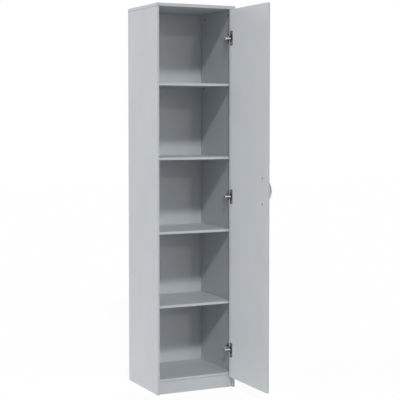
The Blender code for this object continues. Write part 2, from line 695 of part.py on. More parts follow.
def mounting_plate_mesh():
    """Cross-shaped plate, screwed to the side panel, with a raised rail that the arm
    straddles."""
    wing, arm = PLATE_WING_HALF_WIDTH, PLATE_HALF_WIDTH
    reach = PLATE_WING_REACH - wing
    fore, aft = PLATE_RAIL_START - PLATE_CENTRE, PLATE_RAIL_END - PLATE_CENTRE
    outline = circle((0, reach), wing, 8, 0.0, math.pi, False)
    outline += [(-wing, arm), (fore, arm), (fore, -arm), (-wing, -arm)]
    outline += circle((0, -reach), wing, 8, math.pi, 2 * math.pi, False)
    outline += [(wing, -arm), (aft, -arm), (aft, arm), (wing, arm)]
    form = plate_form([outline], SEAT, SEAT + PLATE_SHEET)
    turn = Matrix(((0, 0, -1), (1, 0, 0), (0, 1, 0))).to_4x4()
    form.transform(Matrix.Translation((0, PLATE_CENTRE, 0)) @ turn)
    mesh = finish_mesh(form, "mounting_plate")
    rail = bmesh.new()
    bmesh.ops.create_cube(rail, size=1.0)
    low = Vector((-(ARM_REAR_HEIGHT - ARM_SHEET - SEAT), PLATE_RAIL_START + SEAT,
                  -(ARM_INNER_HALF_WIDTH - SEAT)))
    high = Vector((-(SEAT + PLATE_SHEET / 2), PLATE_RAIL_END - SEAT,
                   ARM_INNER_HALF_WIDTH - SEAT))
    size = high - low
    rail.transform(Matrix.Translation((low + high) / 2) @ Matrix.Diagonal((*size, 1.0)))
    mesh = joined(mesh, finish_mesh(rail, "rail"))
    web = ARM_REAR_HEIGHT - ARM_SHEET
    bores = [((-web - SEAT, back, 0), (-web + ADJUSTER_DEPTH + SEAT, back, 0),
              HINGE_BORE_RADIUS) for back in ARM_SCREW_PLACES]
    mesh = cut(mesh, rods(bores))
    head = -(SEAT + PLATE_SHEET)
    screws = [((head, PLATE_CENTRE, sign * PLATE_SCREW_SPACING / 2), (-1, 0, 0))
              for sign in side_signs()]
    return with_screws(mesh, PLATE_SCREW_LENGTH + SEAT + PLATE_SHEET, PLATE_SHEET, screws)


def screw_profile(length, head_radius=HINGE_SCREW_HEAD_RADIUS,
                  head_length=HINGE_SCREW_HEAD_LENGTH, root=0.0):
    """Screw with a low domed head; its foot is the seat of the head, sunk by a root into
    the sheet that it is tightened on, and +Z is outwards."""
    return [(0, -length), (SCREW_RADIUS, SCREW_TIP_LENGTH - length), (SCREW_RADIUS, -root),
            (head_radius, -root), (head_radius, head_length / 2),
            (head_radius * HEAD_CROWN_SHARE, head_length * HEAD_SHOULDER_SHARE),
            (0, head_length)]


def with_screws(mesh, length, sheet, places):
    """The sheet part with its screws driven home, all in one solid."""
    profile = screw_profile(length, root=sheet / 2)
    return joined(mesh, copies(profile, places, "screws"))


def cup_mesh():
    """Pressed cup with a flange, the screws that hold it to the door, and two lugs that
    carry the link pins. Built for the closed door, about the cup's outer pivot."""
    rim = CUP_RADIUS + CUP_RIM_WIDTH
    inner = CUP_RADIUS - CUP_SHEET
    floor = -CUP_DEPTH + CUP_SHEET
    profile = [(0, -CUP_DEPTH), (CUP_RADIUS - CUP_CHAMFER, -CUP_DEPTH),
               (CUP_RADIUS, -CUP_DEPTH + CUP_CHAMFER), (CUP_RADIUS, SEAT), (rim, SEAT),
               (rim, SEAT + FLANGE_SHEET), (inner, SEAT + FLANGE_SHEET), (inner, floor),
               (0, floor)]
    form = turned_form(profile, CUP_SIDES)
    # the profile's +Z becomes the hinge's +Y
    turn = Matrix(((1, 0, 0), (0, 0, 1), (0, -1, 0))).to_4x4()
    form.transform(Matrix.Translation((-CUP_CENTRE, 0, 0)) @ turn)
    mesh = finish_mesh(form, "cup")

    free_edge = CUP_CENTRE + rim
    ear, soft = FLANGE_HALF_LENGTH, FLANGE_ROUNDING
    edge = DOOR_SIDE_GAP + FLANGE_INNER_EDGE
    upper = circle((free_edge - soft, ear - soft), soft, 3, 0.0, math.pi / 2, False)
    upper += circle((edge + soft, ear - soft), soft, 3, math.pi / 2, math.pi, False)
    upper += circle((edge, FLANGE_BITE_HEIGHT), FLANGE_BITE_RADIUS, 6, math.pi / 2,
                    -math.pi / 2, False)
    ring = circle((CUP_CENTRE, 0), rim - SEAT, 8, math.radians(120), math.radians(240), False)
    lower = [(u, -z) for u, z in reversed(upper)]
    outline = upper + ring + lower
    middle = circle((CUP_CENTRE, 0), (inner + CUP_RADIUS) / 2, CUP_SIDES)
    flange = plate_form([outline, middle], SEAT + FLANGE_STEP,
                        SEAT + FLANGE_SHEET - FLANGE_STEP)
    # outline (inward, up) becomes (-X, Z), and the plate's thickness runs along Y
    turn = Matrix(((-1, 0, 0), (0, 0, 1), (0, 1, 0))).to_4x4()
    flange.transform(turn)
    mesh = joined(mesh, finish_mesh(flange, "flange"))

    notch = bmesh.new()
    bmesh.ops.create_cube(notch, size=1.0)
    size = (CUP_RADIUS, CUP_NOTCH_DEPTH * 2, CUP_NOTCH_HALF_WIDTH * 2)
    notch.transform(Matrix.Translation((-(CUP_CENTRE - CUP_RADIUS - SEAT), 0, 0))
                    @ Matrix.Diagonal((*size, 1.0)))
    mesh = cut(mesh, finish_mesh(notch, "notch"))

    a, b = Vector(CUP_PIVOT_OUTER), Vector(CUP_PIVOT_INNER)
    base = floor - CUP_SHEET / 2
    lug = circle(a, LUG_RADIUS, 2, math.pi, LUG_SHOULDER_ANGLE, False)
    lug += circle(b, LUG_RADIUS, 4, LUG_SHOULDER_ANGLE, 0.0, False)
    lug += [(b.x + LUG_RADIUS, base), (a.x - LUG_RADIUS, base)]
    for low, high in ((LUG_INNER, LUG_OUTER), (-LUG_OUTER, -LUG_INNER)):
        mesh = joined(mesh, plate([mirrored(lug)], low, high))
    sunk = (LUG_INNER + LUG_OUTER) / 2
    outside = OUTER_LINK_OUTER + SEAT
    mesh = joined(mesh, rods([((-a.x, a.y, sunk), (-a.x, a.y, outside), CUP_PIN_RADIUS),
                              ((-a.x, a.y, -outside), (-a.x, a.y, -sunk), CUP_PIN_RADIUS),
                              ((-b.x, b.y, -sunk), (-b.x, b.y, sunk), CUP_PIN_RADIUS)]))
    screw_u = CUP_CENTRE + CUP_SCREW_OFFSET
    screws = [((-screw_u, SEAT + FLANGE_SHEET, sign * CUP_SCREW_SPACING / 2), (0, 1, 0))
              for sign in side_signs()]
    mesh = with_screws(mesh, CUP_SCREW_LENGTH + SEAT + FLANGE_SHEET, FLANGE_SHEET, screws)
    mesh.transform(Matrix.Translation((CUP_PIVOT_OUTER[0], -CUP_PIVOT_OUTER[1], 0)))
    return mesh


def arm_pin_mesh():
    end = ARM_OUTER_HALF_WIDTH + SEAT
    return rods([((0, 0, -end), (0, 0, end), ARM_PIN_RADIUS)], "arm_pin")


def build_door(pivot, laminate, chrome, steel):
    """The door, its handle and the handle's screws, hung from the door's pivot.

    All are built for the closed door in the pivot's frame: X towards the hinge side,
    Y from the outer face to the inner face."""
    to_pivot = Vector((CUP_PIVOT_OUTER[0], -CUP_PIVOT_OUTER[1], 0.0))

    def closed(u, w, z):
        return Vector((-u, w, z)) + to_pivot

    outer_face = -DOOR_THICKNESS
    low = closed(DOOR_SIDE_GAP + DOOR_WIDTH, outer_face, DOOR_BOTTOM)
    high = closed(DOOR_SIDE_GAP, 0.0, DOOR_TOP)
    bores, pockets = [], []
    for height in HINGE_HEIGHTS.values():
        pockets.append(bore_at(closed(CUP_CENTRE, 0, height), (0, -1, 0), CUP_DEPTH + SEAT,
                               CUP_POCKET_RADIUS))
        for sign in side_signs():
            point = closed(CUP_CENTRE + CUP_SCREW_OFFSET, 0, height + sign * CUP_SCREW_SPACING / 2)
            bores.append(bore_at(point, (0, -1, 0), CUP_SCREW_LENGTH + SEAT, HINGE_BORE_RADIUS))
    for sign in side_signs():
        z = HANDLE_HEIGHT + sign * HANDLE_SPACING / 2
        bores.append((closed(HANDLE_CENTRE, outer_face - SEAT, z),
                      closed(HANDLE_CENTRE, SEAT, z), SCREW_RADIUS + SEAT))
    form = bmesh.new()
    bmesh.ops.create_cube(form, size=1.0)
    size = high - low
    form.transform(Matrix.Translation(low + size / 2) @ Matrix.Diagonal((*size, 1.0)))
    bmesh.ops.bevel(form, geom=form.edges[:], offset=EDGE_ROUNDING, segments=1, affect="EDGES")
    mesh = cut(finish_mesh(form, "door_panel"), rods(bores))
    mesh = cut(mesh, rods(pockets, sides=CUP_SIDES))
    place("door_panel", mesh, laminate, parent=pivot)

    face = closed(HANDLE_CENTRE, outer_face - SEAT, HANDLE_HEIGHT)
    place("handle", handle_mesh(), chrome, face, pivot)
    grip = DOOR_THICKNESS + SEAT * 2 + HANDLE_SCREW_ENGAGEMENT
    profile = screw_profile(grip, HANDLE_SCREW_HEAD_RADIUS, HANDLE_SCREW_HEAD_LENGTH)
    screw = copies(profile, [((0, 0, 0), (0, 1, 0))], "handle_screw")
    for sign, row in zip(side_signs(), ("lower", "upper")):
        foot = closed(HANDLE_CENTRE, SEAT, HANDLE_HEIGHT + sign * HANDLE_SPACING / 2)
        place(f"handle_screw_{row}", screw, steel, foot, pivot)


def handle_mesh():
    """Bow handle: a flat bar bent to an arc, cut flat where it meets the door.

    Its origin is on the door's outer face, midway between its feet."""
    half = HANDLE_SPACING / 2
    rise = HANDLE_PROJECTION - HANDLE_THICKNESS / 2
    radius = (half * half + rise * rise) / (2 * rise)
    sink = radius - rise
    end_angle = math.asin(half / radius) + HANDLE_THICKNESS / radius
    chamfer = HANDLE_CHAMFER
    form = bmesh.new()
    rings = []
    for i in range(HANDLE_STEPS + 1):
        share = 2 * i / HANDLE_STEPS - 1
        angle = share * end_angle
        width = HANDLE_WIDTH + (HANDLE_FOOT_WIDTH - HANDLE_WIDTH) * share ** 4
        wide, thick = width / 2, HANDLE_THICKNESS / 2
        section = [(wide - chamfer, thick), (wide, thick - chamfer), (wide, chamfer - thick),
                   (wide - chamfer, -thick), (chamfer - wide, -thick), (-wide, chamfer - thick),
                   (-wide, thick - chamfer), (chamfer - wide, thick)]
        ring = []
        for across, outward in section:
            reach = radius + outward
            ring.append(form.verts.new((across, sink - reach * math.cos(angle),
                                        reach * math.sin(angle))))
        rings.append(ring)
    for first, second in zip(rings, rings[1:]):
        for i in range(8):
            j = (i + 1) % 8
            form.faces.new((first[i], first[j], second[j], second[i]))
    form.faces.new(rings[0])
    form.faces.new(rings[-1])
    everything = form.verts[:] + form.edges[:] + form.faces[:]
    cut_line = bmesh.ops.bisect_plane(form, geom=everything, plane_co=(0, 0, 0),
                                      plane_no=(0, 1, 0), clear_outer=True)["geom_cut"]
    rim = [item for item in cut_line if isinstance(item, bmesh.types.BMEdge)]
    bmesh.ops.holes_fill(form, edges=rim, sides=0)
    mesh = finish_mesh(form, "handle")
    ends = [sign * half for sign in side_signs()]
    bosses = [((0, -HANDLE_BOSS_INSET, z), (0, -HANDLE_BOSS_LENGTH, z), HANDLE_BOSS_RADIUS)
              for z in ends]
    mesh = joined(mesh, rods(bosses, sides=CAM_SIDES))
    bores = [((0, SEAT, z), (0, -HANDLE_SCREW_ENGAGEMENT - SEAT, z), SCREW_RADIUS + SEAT)
             for z in ends]
    return cut(mesh, rods(bores))


def build_hinges(arm_pivot, inner_pivot, door_pivot, steel, dark, bright):
    """Three concealed hinges; the copies share their meshes."""
    plate_y = FRONT_Y + DOOR_THICKNESS
    base, arm, pin, cup = mounting_plate_mesh(), arm_mesh(), arm_pin_mesh(), cup_mesh()
    outer, inner = outer_link_mesh(), inner_link_mesh()
    for label, height in HINGE_HEIGHTS.items():
        hinge = f"{label}_hinge"
        place(f"{hinge}_mounting_plate", base, steel, (INNER_X, plate_y, height))
        place(f"{hinge}_arm", arm, bright, (INNER_X, plate_y, height))
        for row, pivot in (("outer", ARM_PIVOT_OUTER), ("inner", ARM_PIVOT_INNER)):
            place(f"{hinge}_arm_pin_{row}", pin, dark, (*hinge_xy(pivot), height))
        place(f"{hinge}_cup", cup, steel, (0, 0, height), door_pivot)
        place(f"{hinge}_outer_link", outer, bright, (0, 0, height), arm_pivot)
        place(f"{hinge}_inner_link", inner, bright, (0, 0, height), inner_pivot)


def main():
    clear_scene()
    laminate = material("pale_laminate", (0.55, 0.57, 0.59), 0.45)
    hardboard = material("back_hardboard", (0.52, 0.54, 0.56), 0.6)
    zinc = material("zinc", (0.42, 0.43, 0.44), 0.4, 1.0)
    steel = material("hinge_steel", (0.22, 0.23, 0.24), 0.35, 1.0)
    bright = material("bright_steel", (0.72, 0.73, 0.74), 0.25, 1.0)
    dark = material("screw_steel", (0.30, 0.30, 0.31), 0.35, 1.0)
    satin = material("handle_satin", (0.68, 0.69, 0.70), 0.3, 1.0)

    build_side(-1, "side_panel_left", laminate)
    build_side(1, "side_panel_right", laminate)
    build_top(laminate)
    build_bottom(laminate)
    build_plinth(laminate)
    build_back(hardboard)
    build_shelves(laminate, zinc)
    build_fittings(zinc)

    arm_pivot = place("outer_link_pivot", None, None, (*hinge_xy(ARM_PIVOT_OUTER), 0.0))
    inner_pivot = place("inner_link_pivot", None, None, (*hinge_xy(ARM_PIVOT_INNER), 0.0))
    door_xy = Vector(hinge_xy(opened(CUP_PIVOT_OUTER))) - Vector(hinge_xy(ARM_PIVOT_OUTER))
    door_pivot = place("door_pivot", None, None, (door_xy.x, door_xy.y, 0.0), arm_pivot)
    door_pivot.rotation_euler = (0.0, 0.0, math.pi / 2)
    build_door(door_pivot, laminate, satin, dark)
    build_hinges(arm_pivot, inner_pivot, door_pivot, steel, dark, bright)


main()
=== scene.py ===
"""Looks for the tall kitchen cabinet: materials, fine hardware, floor, light and camera."""

import json
import math

import bmesh
import bpy
from mathutils import Matrix, Vector

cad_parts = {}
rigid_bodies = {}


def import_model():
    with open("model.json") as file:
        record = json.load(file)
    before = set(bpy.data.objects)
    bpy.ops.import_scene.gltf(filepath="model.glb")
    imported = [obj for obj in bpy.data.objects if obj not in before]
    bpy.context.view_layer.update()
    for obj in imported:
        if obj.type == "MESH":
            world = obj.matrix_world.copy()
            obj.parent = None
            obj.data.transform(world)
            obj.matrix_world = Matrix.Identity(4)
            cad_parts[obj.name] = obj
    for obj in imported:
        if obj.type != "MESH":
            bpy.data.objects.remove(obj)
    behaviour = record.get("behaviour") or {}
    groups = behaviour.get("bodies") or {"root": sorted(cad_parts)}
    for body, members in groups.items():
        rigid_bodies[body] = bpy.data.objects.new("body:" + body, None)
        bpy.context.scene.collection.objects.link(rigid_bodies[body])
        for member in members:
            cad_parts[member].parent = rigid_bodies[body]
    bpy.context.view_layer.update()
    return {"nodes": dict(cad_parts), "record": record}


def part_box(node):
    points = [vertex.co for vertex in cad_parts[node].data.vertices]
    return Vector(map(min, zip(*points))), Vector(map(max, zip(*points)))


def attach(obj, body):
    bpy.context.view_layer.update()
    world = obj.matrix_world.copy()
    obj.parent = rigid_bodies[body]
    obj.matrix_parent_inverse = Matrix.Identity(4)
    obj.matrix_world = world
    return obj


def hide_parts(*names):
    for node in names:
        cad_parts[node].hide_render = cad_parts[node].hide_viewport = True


for leftover in list(bpy.data.objects):
    bpy.data.objects.remove(leftover, do_unlink=True)

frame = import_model()
nodes = frame["nodes"]

BOARD = (0.536, 0.560, 0.580)
BACK_FACE = (0.520, 0.544, 0.562)
FIBRE = (0.150, 0.098, 0.062)
NICKEL = (0.80, 0.79, 0.78)
DARK_NICKEL = (0.24, 0.242, 0.245)
ZINC = (0.40, 0.41, 0.42)
SATIN = (0.83, 0.83, 0.825)
DARK_SCREW_TONE = (0.085, 0.085, 0.09)

EDGE_ROUNDING = 0.0010
# Painted shade: the grooves where boards meet are darkened in the board colour
JOINT_DEPTH = 0.0012
JOINT_HALF_WIDTH = 0.0005
JOINT_FADE_WIDTH = 0.0010
JOINT_SHADE_TONE = 0.40
SAME_ANGLE = math.radians(0.5)
SMOOTH_ANGLE = 35
HINGES = ("top", "middle", "bottom")


def measured(length):
    """A length read from the frame, to the micrometre."""
    return round(length, 6)


side_low, side_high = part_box("side_panel_right")
door_low, door_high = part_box("door_panel")
handle_low, handle_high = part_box("handle")
lower_screw, upper_screw = (sum(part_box(f"handle_screw_{row}"), Vector()) / 2
                            for row in ("lower", "upper"))
INNER_X = measured(side_low.x)
OUTER_X = measured(side_high.x)
FRONT_Y = measured(side_low.y)
PLINTH_Y = measured(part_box("plinth_board")[0].y)
TOP_JOINT = measured(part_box("top_panel")[0].z)
PLINTH_JOINT = measured(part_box("bottom_panel")[0].z)
PAINT_END_Y = measured(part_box("back_panel")[0].y + 0.0005)
DOOR_FACE_X = measured(door_low.x)
CLOSED_DOOR_Y = measured(side_low.y + door_high.x - door_low.x)

HANDLE_PLACE = (measured(handle_low.x), measured(lower_screw.y),
                measured((lower_screw.z + upper_screw.z) / 2))
HANDLE_SPACING = measured(upper_screw.z - lower_screw.z)
HANDLE_PROJECTION = measured(handle_high.x - handle_low.x)
HANDLE_THICKNESS = 0.006
HANDLE_FOOT_WIDTH = 0.0132
HANDLE_SWELL = 0.0068
HANDLE_FOOT_FLARE = 0.003
HANDLE_STEPS = 72
HANDLE_CORNERS = 20
BOSS_RADIUS = 0.0025
BOSS_LENGTH = 0.0050


# Materials

def shader_of(name, colour, roughness, metallic=0.0, **sockets):
    """A material whose Principled shader has its plain values set."""
    made = bpy.data.materials.new(name)
    made.use_nodes = True
    shader = made.node_tree.nodes["Principled BSDF"]
    shader.inputs["Base Color"].default_value = (*colour, 1.0)
    shader.inputs["Roughness"].default_value = roughness
    shader.inputs["Metallic"].default_value = metallic
    for socket, value in sockets.items():
        shader.inputs[socket.replace("_", " ")].default_value = value
    return made, shader


def add(tree, kind, **settings):
    """A shader node; each setting is an input's value, or else a property of the node."""
    node = tree.nodes.new(kind)
    for key, value in settings.items():
        if key in node.inputs:
            node.inputs[key].default_value = value
        else:
            setattr(node, key, value)
    return node


def coordinates(tree, scale=(1.0, 1.0, 1.0)):
    """Object coordinates, in metres, stretched by a scale for each axis."""
    source = add(tree, "ShaderNodeTexCoord")
    stretch = add(tree, "ShaderNodeMapping", Scale=scale)
    tree.links.new(source.outputs["Object"], stretch.inputs["Vector"])
    return stretch.outputs["Vector"]


def noise(tree, vector, scale, detail=2.0, roughness=0.5):
    """Soft noise from 0 to 1; the scale is in features for each unit of the coordinates."""
    made = add(tree, "ShaderNodeTexNoise", Scale=scale, Detail=detail, Roughness=roughness)
    tree.links.new(vector, made.inputs["Vector"])
    return made.outputs["Fac"]


def ranged(tree, value, low, high, from_low=0.3, from_high=0.7):
    """A value carried from one range to another."""
    made = add(tree, "ShaderNodeMapRange")
    for key, number in (("From Min", from_low), ("From Max", from_high),
                        ("To Min", low), ("To Max", high)):
        made.inputs[key].default_value = number
    tree.links.new(value, made.inputs["Value"])
    return made.outputs["Result"]


def shaded(colour, factor):
    """A colour made lighter or darker, with its alpha."""
    return (*(channel * factor for channel in colour), 1.0)


def two_tones(tree, value, first, second, low=0.35, high=0.65):
    """A colour that goes from one tone to another with a value."""
    ramp = add(tree, "ShaderNodeValToRGB")
    ramp.color_ramp.elements[0].position = low
    ramp.color_ramp.elements[0].color = first
    ramp.color_ramp.elements[1].position = high
    ramp.color_ramp.elements[1].color = second
    tree.links.new(value, ramp.inputs["Fac"])
    return ramp.outputs["Color"]


def mixed(tree, first, second, share, mode="MIX"):
    """Two colours blended; each argument is a socket or a plain value."""
    made = add(tree, "ShaderNodeMix", data_type="RGBA", blend_type=mode)
    for socket, source in ((made.inputs[0], share), (made.inputs[6], first),
                           (made.inputs[7], second)):
        if isinstance(source, bpy.types.NodeSocket):
            tree.links.new(source, socket)
        else:
            socket.default_value = source
    return made.outputs[2]


def bumped(tree, shader, height, distance, strength):
    """Fine relief on a shader's surface."""
    bump = add(tree, "ShaderNodeBump", Strength=strength, Distance=distance)
    tree.links.new(height, bump.inputs["Height"])
    tree.links.new(bump.outputs["Normal"], shader.inputs["Normal"])


def maths(tree, operation, first, second=None):
    """The result of a Math node; each argument is a socket or a plain number."""
    made = add(tree, "ShaderNodeMath", operation=operation)
    for socket, source in zip(made.inputs, (first, second)):
        if isinstance(source, bpy.types.NodeSocket):
            tree.links.new(source, socket)
        elif source is not None:
            socket.default_value = source
    return made.outputs[0]


def painted_joint_shade(tree, place):
    """1 in the grooves where the top panel lies on the sides, and the bottom panel on the
    plinth board; painted shade of the narrow gaps there follows these lines."""
    split = add(tree, "ShaderNodeSeparateXYZ")
    tree.links.new(place, split.inputs["Vector"])
    x = maths(tree, "ABSOLUTE", split.outputs["X"])
    y, z = split.outputs["Y"], split.outputs["Z"]
    outside = maths(tree, "GREATER_THAN", x, OUTER_X - JOINT_DEPTH)
    in_front = maths(tree, "MULTIPLY", maths(tree, "LESS_THAN", y, FRONT_Y + JOINT_DEPTH),
                     maths(tree, "GREATER_THAN", x, INNER_X))
    from_plinth = maths(tree, "ABSOLUTE", maths(tree, "SUBTRACT", y, PLINTH_Y))
    between = maths(tree, "MULTIPLY", maths(tree, "LESS_THAN", from_plinth, JOINT_DEPTH),
                    maths(tree, "LESS_THAN", x, INNER_X - JOINT_DEPTH))
    lines = []
    for where, height in ((maths(tree, "MAXIMUM", outside, in_front), TOP_JOINT),
                          (between, PLINTH_JOINT)):
        far = maths(tree, "ABSOLUTE", maths(tree, "SUBTRACT", z, height))
        near = ranged(tree, far, 1.0, 0.0, JOINT_HALF_WIDTH, JOINT_FADE_WIDTH)
        lines.append(maths(tree, "MULTIPLY", near, where))
    return maths(tree, "MAXIMUM", *lines)


def laminate(name, colour, roughness=0.46):
    """Melamine-faced board: a pearl-grained face with faint clouding, handling marks and painted
    shade along the joint grooves.
    """
    made, shader = shader_of(name, colour, roughness, Specular_IOR_Level=0.38)
    tree = made.node_tree
    place = coordinates(tree)
    cloud = noise(tree, place, 5.0, 3.0, 0.55)
    tone = two_tones(tree, cloud, shaded(colour, 0.985), shaded(colour, 1.015))
    speck = noise(tree, place, 900.0, 2.0, 0.6)
    fleck = two_tones(tree, speck, (0.97, 0.97, 0.97, 1.0), (1.0, 1.0, 1.0, 1.0), 0.30, 0.52)
    face = mixed(tree, tone, fleck, 1.0, "MULTIPLY")
    # Painted shade: the board colour is darkened along the joint grooves
    face = mixed(tree, face, shaded(colour, JOINT_SHADE_TONE), painted_joint_shade(tree, place))
    tree.links.new(face, shader.inputs["Base Color"])
    smear = noise(tree, coordinates(tree, (9.0, 9.0, 2.5)), 1.0, 4.0, 0.6)
    tree.links.new(ranged(tree, smear, roughness - 0.05, roughness + 0.06),
                   shader.inputs["Roughness"])
    bumped(tree, shader, noise(tree, place, 650.0, 3.0, 0.55), 0.00006, 0.22)
    return made


def hardboard(name):
    """Thin fibreboard: painted on the face towards the inside, bare and brown behind."""
    made, shader = shader_of(name, BACK_FACE, 0.6, Specular_IOR_Level=0.3)
    tree = made.node_tree
    place = coordinates(tree)
    cloud = noise(tree, place, 6.0, 3.0, 0.5)
    paint = two_tones(tree, cloud, shaded(BACK_FACE, 0.985), shaded(BACK_FACE, 1.015))
    strands = noise(tree, coordinates(tree, (1.0, 1.0, 0.55)), 260.0, 6.0, 0.7)
    raw = two_tones(tree, strands, shaded(FIBRE, 0.72), shaded(FIBRE, 1.35), 0.32, 0.68)
    blotch = two_tones(tree, noise(tree, place, 14.0, 4.0, 0.6), (0.88, 0.88, 0.88, 1.0),
                       (1.08, 1.06, 1.04, 1.0))
    raw = mixed(tree, raw, blotch, 1.0, "MULTIPLY")
    split = add(tree, "ShaderNodeSeparateXYZ")
    tree.links.new(place, split.inputs["Vector"])
    behind = ranged(tree, split.outputs["Y"], 0.0, 1.0, PAINT_END_Y - 0.0001,
                    PAINT_END_Y + 0.0001)
    tree.links.new(mixed(tree, paint, raw, behind), shader.inputs["Base Color"])
    bumped(tree, shader, strands, 0.00015, 0.3)
    return made


def plated(name, colour, roughness, grain=(1.0, 1.0, 1.0), scale=900.0, depth=0.00002,
           metallic=1.0):
    """Plated or metal-painted part with a fine grain and slight clouding in its gloss."""
    made, shader = shader_of(name, colour, roughness, metallic)
    tree = made.node_tree
    fine = noise(tree, coordinates(tree, grain), scale, 3.0, 0.6)
    cloud = noise(tree, coordinates(tree), 60.0, 2.0, 0.5)
    tone = two_tones(tree, cloud, shaded(colour, 0.90), shaded(colour, 1.08))
    tree.links.new(tone, shader.inputs["Base Color"])
    tree.links.new(ranged(tree, fine, roughness - 0.08, roughness + 0.10),
                   shader.inputs["Roughness"])
    bumped(tree, shader, fine, depth, 0.3)
    return made


finishes = {
    "pale_laminate": laminate("board_laminate", BOARD),
    "back_hardboard": hardboard("back_fibreboard"),
    "zinc": plated("zinc_plate", ZINC, 0.42),
    "hinge_steel": plated("dark_nickel", DARK_NICKEL, 0.46),
    "bright_steel": plated("bright_nickel", NICKEL, 0.36, (1.0, 4.0, 1.0), 500.0),
    "screw_steel": plated("screw_zinc", ZINC, 0.36),
    "handle_satin": plated("satin_grey", SATIN, 0.42, (1.0, 1.0, 0.08), 1600.0, 0.00002, 0.15),
}
# Handle screw heads get a near-black colour, much darker than the other screws
dark_screw = plated("dark_screw_finish", DARK_SCREW_TONE, 0.5)
slots = {part["node"]: part["material_slot"] for part in frame["record"]["subparts"]}
for name, item in nodes.items():
    item.data.materials.clear()
    item.data.materials.append(finishes[slots[name]])


def soften(item, width, segments=2):
    """Edges of a CAD node's boards slightly rounded; its mesh stays as it is."""
    weld = item.modifiers.new("weld", "WELD")
    weld.merge_threshold = 2e-6
    flat = item.modifiers.new("flat", "DECIMATE")
    flat.decimate_type = "DISSOLVE"
    flat.angle_limit = SAME_ANGLE
    edge = item.modifiers.new("edge", "BEVEL")
    edge.width = width
    edge.segments = segments
    edge.limit_method = "ANGLE"
    edge.angle_limit = math.radians(50)
    edge.use_clamp_overlap = False
    edge.harden_normals = True


for name, item in nodes.items():
    if slots[name] == "pale_laminate":
        soften(item, EDGE_ROUNDING)


# Mesh tools

def to_mesh(form, name, sharp=SMOOTH_ANGLE):
    """A bmesh as a mesh, with its round faces smooth."""
    bmesh.ops.recalc_face_normals(form, faces=form.faces)
    mesh = bpy.data.meshes.new(name)
    form.to_mesh(mesh)
    form.free()
    mesh.shade_smooth()
    mesh.set_sharp_from_angle(angle=math.radians(sharp))
    return mesh


def link(name, mesh, finish=None):
    """A new object in the scene, with its finish when one is given."""
    item = bpy.data.objects.new(name, mesh)
    if finish is not None:
        mesh.materials.clear()
        mesh.materials.append(finish)
    bpy.context.scene.collection.objects.link(item)
    return item


def modified(mesh, changes):
    """The mesh after modifiers; each change is (kind, settings)."""
    item = link("working", mesh)
    for kind, settings in changes:
        step = item.modifiers.new(kind.lower(), kind)
        for key, value in settings.items():
            setattr(step, key, value)
    graph = bpy.context.evaluated_depsgraph_get()
    result = bpy.data.meshes.new_from_object(item.evaluated_get(graph))
    bpy.data.objects.remove(item, do_unlink=True)
    return result


def combined(mesh, tools, operation):
    """Exact Booleans of a mesh with several others, one after another."""
    for tool in tools:
        helper = link("tool", tool)
        mesh = modified(mesh, [("BOOLEAN", {"operation": operation, "solver": "EXACT",
                                            "object": helper})])
        bpy.data.objects.remove(helper, do_unlink=True)
    mesh.shade_smooth()
    mesh.set_sharp_from_angle(angle=math.radians(SMOOTH_ANGLE))
    return mesh


def turned(profile, sides, name, sharp=SMOOTH_ANGLE):
    """A solid of revolution about Z; the profile's points are (radius, height)."""
    form = bmesh.new()
    verts = [form.verts.new((radius, 0.0, height)) for radius, height in profile]
    edges = [form.edges.new(pair) for pair in zip(verts, verts[1:])]
    bmesh.ops.spin(form, geom=verts + edges, cent=(0, 0, 0), axis=(0, 0, 1),
                   angle=2 * math.pi, steps=sides, use_merge=True)
    bmesh.ops.remove_doubles(form, verts=form.verts, dist=1e-7)
    bmesh.ops.dissolve_degenerate(form, edges=form.edges, dist=1e-8)
    return to_mesh(form, name, sharp)


def box_mesh(size, centre=(0.0, 0.0, 0.0)):
    """A plain box."""
    form = bmesh.new()
    bmesh.ops.create_cube(form, size=1.0)
    form.transform(Matrix.Translation(centre) @ Matrix.Diagonal((*size, 1.0)))
    return to_mesh(form, "box")


def prism(outline, axis, low, high):
    """A solid with a flat outline, drawn out along one axis from low to high; the outline's
    points are given in the order of the other two axes."""
    form = bmesh.new()
    ends = [[form.verts.new(Vector((*point[:axis], level, *point[axis:]))) for point in outline]
            for level in (low, high)]
    form.faces.new(ends[0])
    form.faces.new(ends[1])
    for i in range(len(outline)):
        j = (i + 1) % len(outline)
        form.faces.new((ends[0][i], ends[0][j], ends[1][j], ends[1][i]))
    return to_mesh(form, "prism")


def rounded(points, radius, steps=6):
    """A closed outline with its corners rounded; a point may carry its own radius."""
    result = []
    for i, point in enumerate(points):
        here = Vector(point[:2])
        reach = point[2] if len(point) > 2 else radius
        if not reach:
            result.append(tuple(here))
            continue
        before = (Vector(points[i - 1][:2]) - here).normalized()
        after = (Vector(points[(i + 1) % len(points)][:2]) - here).normalized()
        half = before.angle(after) / 2
        centre = here + (before + after).normalized() * reach / math.sin(half)
        first = here + before * reach / math.tan(half) - centre
        last = here + after * reach / math.tan(half) - centre
        turn = first.angle_signed(last)
        result += [tuple(centre + Matrix.Rotation(-turn * k / steps, 2) @ first)
                   for k in range(steps + 1)]
    return result


def welded(node):
    """A CAD node's mesh with its split corners joined again."""
    form = bmesh.new()
    form.from_mesh(nodes[node].data)
    bmesh.ops.remove_doubles(form, verts=form.verts, dist=2e-7)
    bmesh.ops.dissolve_limit(form, angle_limit=SAME_ANGLE, verts=form.verts, edges=form.edges)
    return to_mesh(form, f"{node}_form")


def moved(mesh, matrix, name):
    """A moved copy of a mesh."""
    copy = mesh.copy()
    copy.name = name
    copy.transform(matrix)
    return copy


def merged(meshes, name):
    """Several meshes in one, as they are."""
    form = bmesh.new()
    for mesh in meshes:
        form.from_mesh(mesh)
    result = bpy.data.meshes.new(name)
    form.to_mesh(result)
    form.free()
    result.shade_smooth()
    result.set_sharp_from_angle(angle=math.radians(SMOOTH_ANGLE))
    return result


# Hardware

